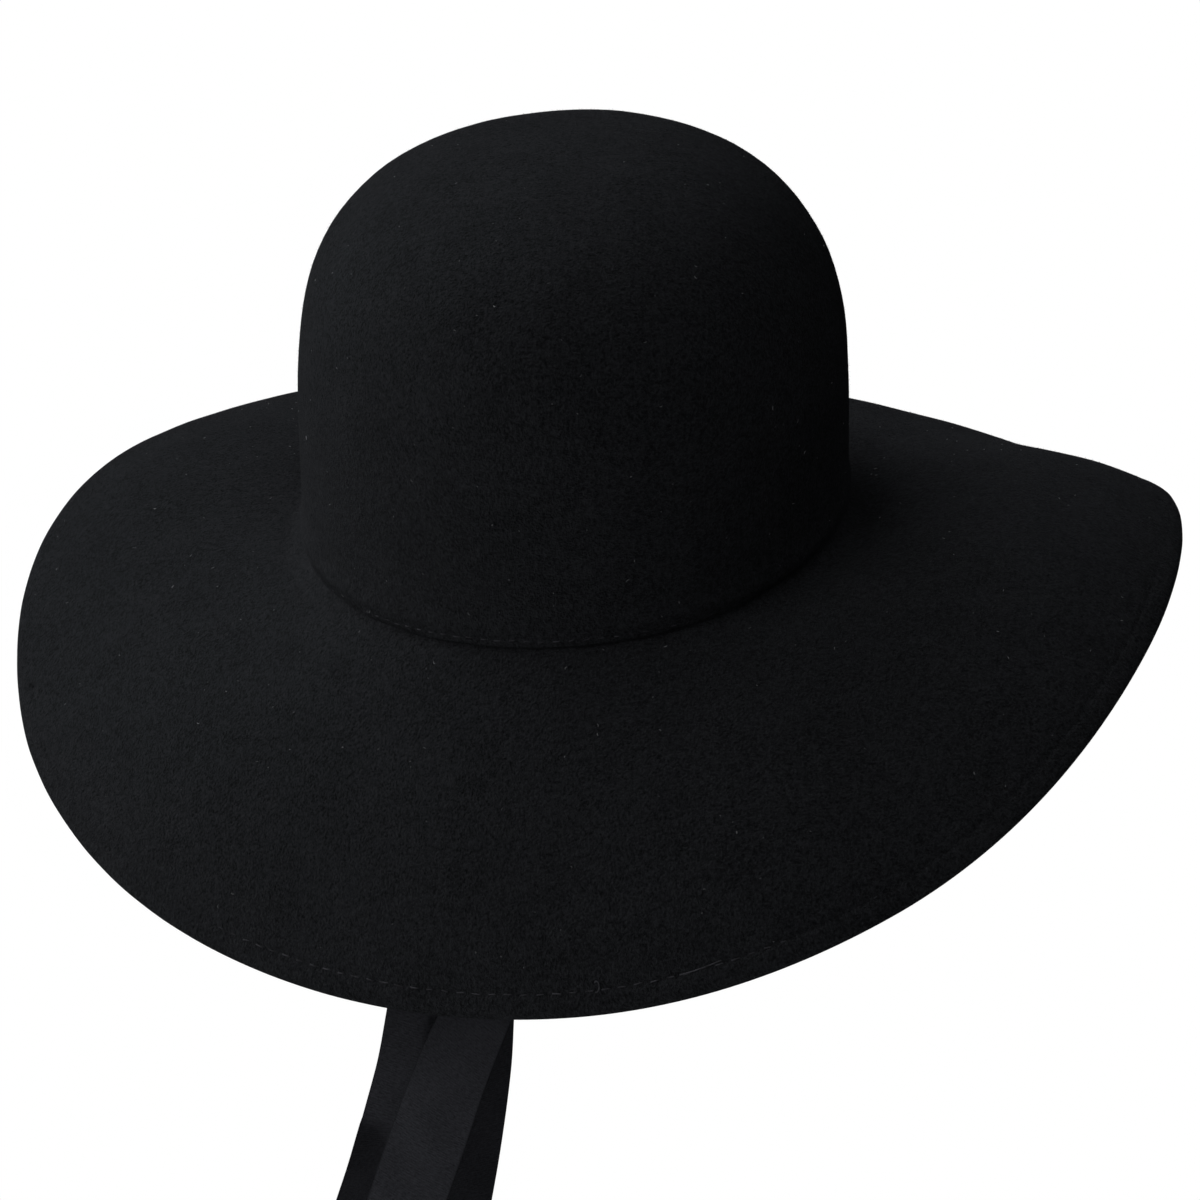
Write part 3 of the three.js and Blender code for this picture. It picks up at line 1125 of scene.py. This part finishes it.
def tie_mesh(name, rows, settings):
    """A thin strip with rounded selvages, bent along its rows."""
    bm = bmesh.new()
    bmesh.ops.create_cube(bm, size=1)
    for axis, cuts in ((0, 31), (2, 239)):
        bmesh.ops.subdivide_edges(bm, edges=edges_along(bm, axis), cuts=cuts, use_grid_fill=True)
    mesh = mesh_from(bm, name)
    flat = coordinates(mesh)
    length = tie_length(rows)
    across = np.sin(flat[:, 0] * math.pi) / 2 * settings.width  # closer together at the selvages
    # The selvages are a little thicker.
    from_edge = settings.width / 2 - np.abs(across)
    full = 1 + 0.12 * np.exp(-((from_edge / 0.0008) ** 2))
    depth = flat[:, 1] * settings.thickness * full
    share = 0.5 - flat[:, 2]
    place_vertices(mesh, tie_points(rows, share, across, depth, name == FOLDED_TIE))

    corner = face_corners(mesh)
    lay_flat(mesh, share[corner] * length, across[corner])
    return mesh, length


class HAT_OT_ribbon_ties(bpy.types.Operator):
    """Hang the three ribbon ties"""

    bl_idname = "hat.ribbon_ties"
    bl_label = "Ribbon Ties"

    def execute(self, context):
        settings = context.scene.hat_ribbon
        material = woven_material("black_ribbon", settings.colour, rib=0.0008, shine=0.0)
        for name, rows in TIES.items():
            mesh, length = tie_mesh(name, rows, settings)
            tie = piece(mesh, material, "ribbon", name)
        return {"FINISHED"}


# ---- stage


class HAT_OT_stage(bpy.types.Operator):
    """Set out the pale floor, the soft lights and the camera"""

    bl_idname = "hat.stage"
    bl_label = "Stage"

    def execute(self, context):
        settings = context.scene.hat_stage
        scene = context.scene
        scene.view_settings.view_transform = "Standard"

        bm = bmesh.new()
        bmesh.ops.create_grid(bm, x_segments=1, y_segments=1, size=settings.floor_reach)
        bmesh.ops.translate(bm, verts=bm.verts, vec=(0, 0, -settings.floor_drop))
        floor = bpy.data.objects.new("floor", mesh_from(bm, "floor"))
        pale = Shader("pale_floor").finish(Base_Color=FLOOR_COLOUR, Roughness=0.9)
        floor.data.materials.append(pale)
        scene.collection.objects.link(floor)

        for name, (towards, share) in SOFT_LIGHTS.items():
            light = bpy.data.lights.new(name, "SUN")
            light.energy = settings.key * share
            light.angle = LIGHT_SPREAD
            shown = bpy.data.objects.new(name, light)
            shown.rotation_euler = Vector(towards).to_track_quat("-Z", "Y").to_euler()
            scene.collection.objects.link(shown)

        # The camera sees a white ground, which lights the hat only as much as the fill says.
        world = bpy.data.worlds.new("studio")
        world.use_nodes = True
        nodes, links = world.node_tree.nodes, world.node_tree.links
        seen = nodes.new("ShaderNodeLightPath").outputs["Is Camera Ray"]
        strength = nodes.new("ShaderNodeMapRange")
        strength.inputs["To Min"].default_value = settings.fill
        strength.inputs["To Max"].default_value = 1.0
        links.new(seen, strength.inputs["Value"])
        links.new(strength.outputs["Result"], nodes["Background"].inputs["Strength"])
        nodes["Background"].inputs["Color"].default_value = (1, 1, 1, 1)
        scene.world = world

        camera = bpy.data.cameras.new("camera")
        camera.lens = settings.lens
        camera.clip_end = 100
        shown = bpy.data.objects.new("camera", camera)
        back = Vector((0, -math.cos(settings.elevation), math.sin(settings.elevation)))
        shown.location = Vector(CAMERA_TARGET) + back * settings.distance
        shown.rotation_euler = (RIGHT_ANGLE - settings.elevation, 0, 0)
        scene.collection.objects.link(shown)
        scene.camera = shown
        return {"FINISHED"}


# ---- panel


class HAT_PT_pieces(bpy.types.Panel):
    """Lists the hat's sizes and the steps that make it."""

    bl_idname = "HAT_PT_pieces"
    bl_label = "Floppy Hat"
    bl_space_type = "VIEW_3D"
    bl_region_type = "UI"
    bl_category = "Hat"

    def draw(self, context):
        for name, group in SETTINGS.items():
            box = self.layout.box()
            settings = getattr(context.scene, name)
            for prop in group.__annotations__:
                box.prop(settings, prop)
        for operator in OPERATORS:
            self.layout.operator(operator.bl_idname)


SETTINGS = {
    "hat_felt": FeltSettings,
    "hat_thread": ThreadSettings,
    "hat_ribbon": RibbonSettings,
    "hat_stage": StageSettings,
}
OPERATORS = (
    HAT_OT_felt_body,
    HAT_OT_nap,
    HAT_OT_lint,
    HAT_OT_sweatband,
    HAT_OT_ribbon_ties,
    HAT_OT_stitches,
    HAT_OT_stage,
)
CLASSES = (*SETTINGS.values(), *OPERATORS, HAT_PT_pieces)


def register():
    for cls in CLASSES:
        bpy.utils.register_class(cls)
    for name, group in SETTINGS.items():
        setattr(bpy.types.Scene, name, PointerProperty(type=group))


def unregister():
    for name in SETTINGS:
        delattr(bpy.types.Scene, name)
    for cls in reversed(CLASSES):
        bpy.utils.unregister_class(cls)


def main():
    register()
    bpy.ops.hat.felt_body()
    bpy.ops.hat.nap()
    bpy.ops.hat.lint()
    bpy.ops.hat.sweatband()
    bpy.ops.hat.ribbon_ties()
    bpy.ops.hat.stitches()
    bpy.ops.hat.stage()


if __name__ == "__main__":
    main()
